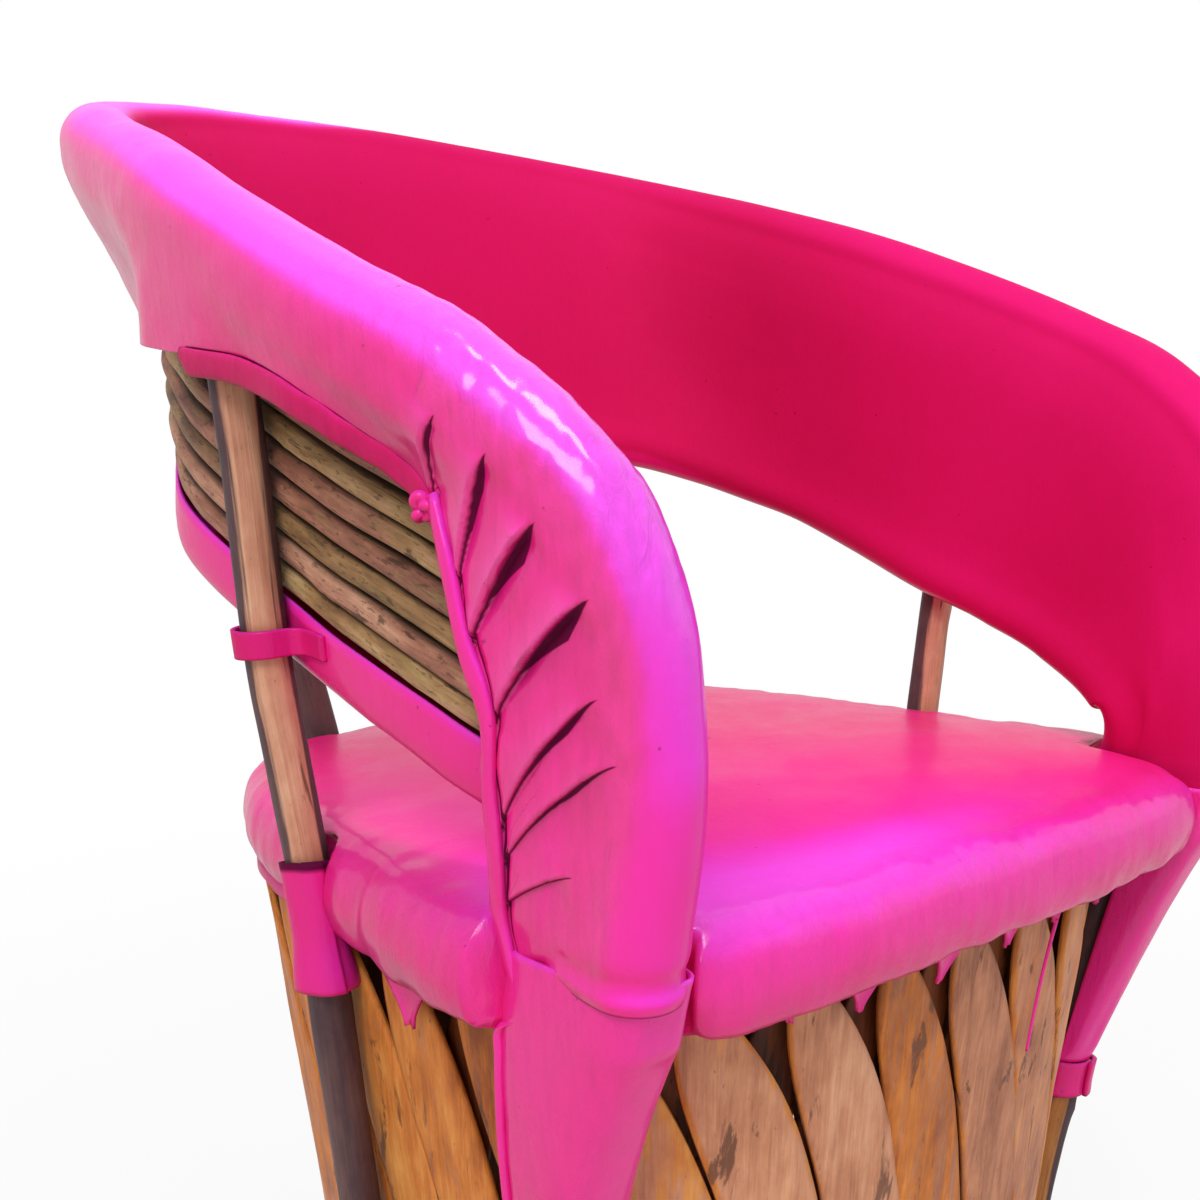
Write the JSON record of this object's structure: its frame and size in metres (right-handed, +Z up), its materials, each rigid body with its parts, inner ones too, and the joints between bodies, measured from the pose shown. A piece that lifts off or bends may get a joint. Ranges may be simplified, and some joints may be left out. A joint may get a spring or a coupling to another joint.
{
  "type": "equipale chair",
  "caption": "Barrel armchair with a drum of crossed wood slats, a padded leather seat and one wrap-round padded leather back and arm band on round posts.",
  "frame": {"origin": "on the floor, below the middle of the whole chair's outline", "axes": "+Z up, the sitter faces -Y, the sitter's right side is -X"},
  "size_m": [0.6286, 0.66, 0.8759],
  "materials": {
    "hoop_wood": "bent wood, oiled",
    "cedar": "split cedar, fibrous and unpolished",
    "reed": "split reed",
    "bark_wood": "pole with its bark on",
    "peeled_wood": "peeled pole, dry",
    "stick_wood": "thin stick with weathered bark",
    "leather": "dyed bright pink, smooth and half glossy",
    "seat_leather": "dyed bright pink, smooth and half glossy",
    "strap_leather": "dyed pink, cut edge"
  },
  "bodies": {
    "root": {"floor_hoop": "hoop_wood", "foot_binding_hoop": "hoop_wood", "seat_hoop": "hoop_wood", "top_rail": "hoop_wood", "lower_rail": "hoop_wood", "slat_pair_01": "cedar", "slat_pair_02": "cedar", "slat_pair_03": "cedar", "slat_pair_04": "cedar", "slat_pair_05": "cedar", "slat_pair_06": "cedar", "slat_pair_07": "cedar", "slat_pair_08": "cedar", "slat_pair_09": "cedar", "slat_pair_10": "cedar", "slat_pair_11": "cedar", "slat_pair_12": "cedar", "slat_pair_13": "cedar", "slat_pair_14": "cedar", "slat_pair_15": "cedar", "slat_pair_16": "cedar", "slat_pair_17": "cedar", "slat_pair_18": "cedar", "slat_pair_19": "cedar", "slat_pair_20": "cedar", "slat_pair_21": "cedar", "slat_pair_22": "cedar", "slat_pair_23": "cedar", "slat_pair_24": "cedar", "slat_pair_25": "cedar", "slat_pair_26": "cedar", "seat_deck": "reed", "front_post_right": "bark_wood", "front_post_left": "bark_wood", "back_post_right": "bark_wood", "back_post_left": "bark_wood", "side_post_right": "peeled_wood", "side_post_left": "peeled_wood", "back_stick_1": "stick_wood", "back_stick_2": "stick_wood", "back_stick_3": "stick_wood", "back_stick_4": "stick_wood", "back_stick_5": "stick_wood", "back_stick_6": "stick_wood", "back_stick_7": "stick_wood", "back_stick_8": "stick_wood", "back_leather": "leather", "arm_sheath_right": "leather", "arm_sheath_left": "leather", "seat_cushion": "seat_leather", "arm_seam_right": "strap_leather", "arm_seam_left": "strap_leather", "front_collar_right": "strap_leather", "front_collar_left": "strap_leather", "post_sleeve_right": "strap_leather", "post_sleeve_left": "strap_leather", "upper_strap_right": "strap_leather", "upper_strap_left": "strap_leather", "lower_strap_right": "strap_leather", "lower_strap_left": "strap_leather"}
  },
  "joints": []
}
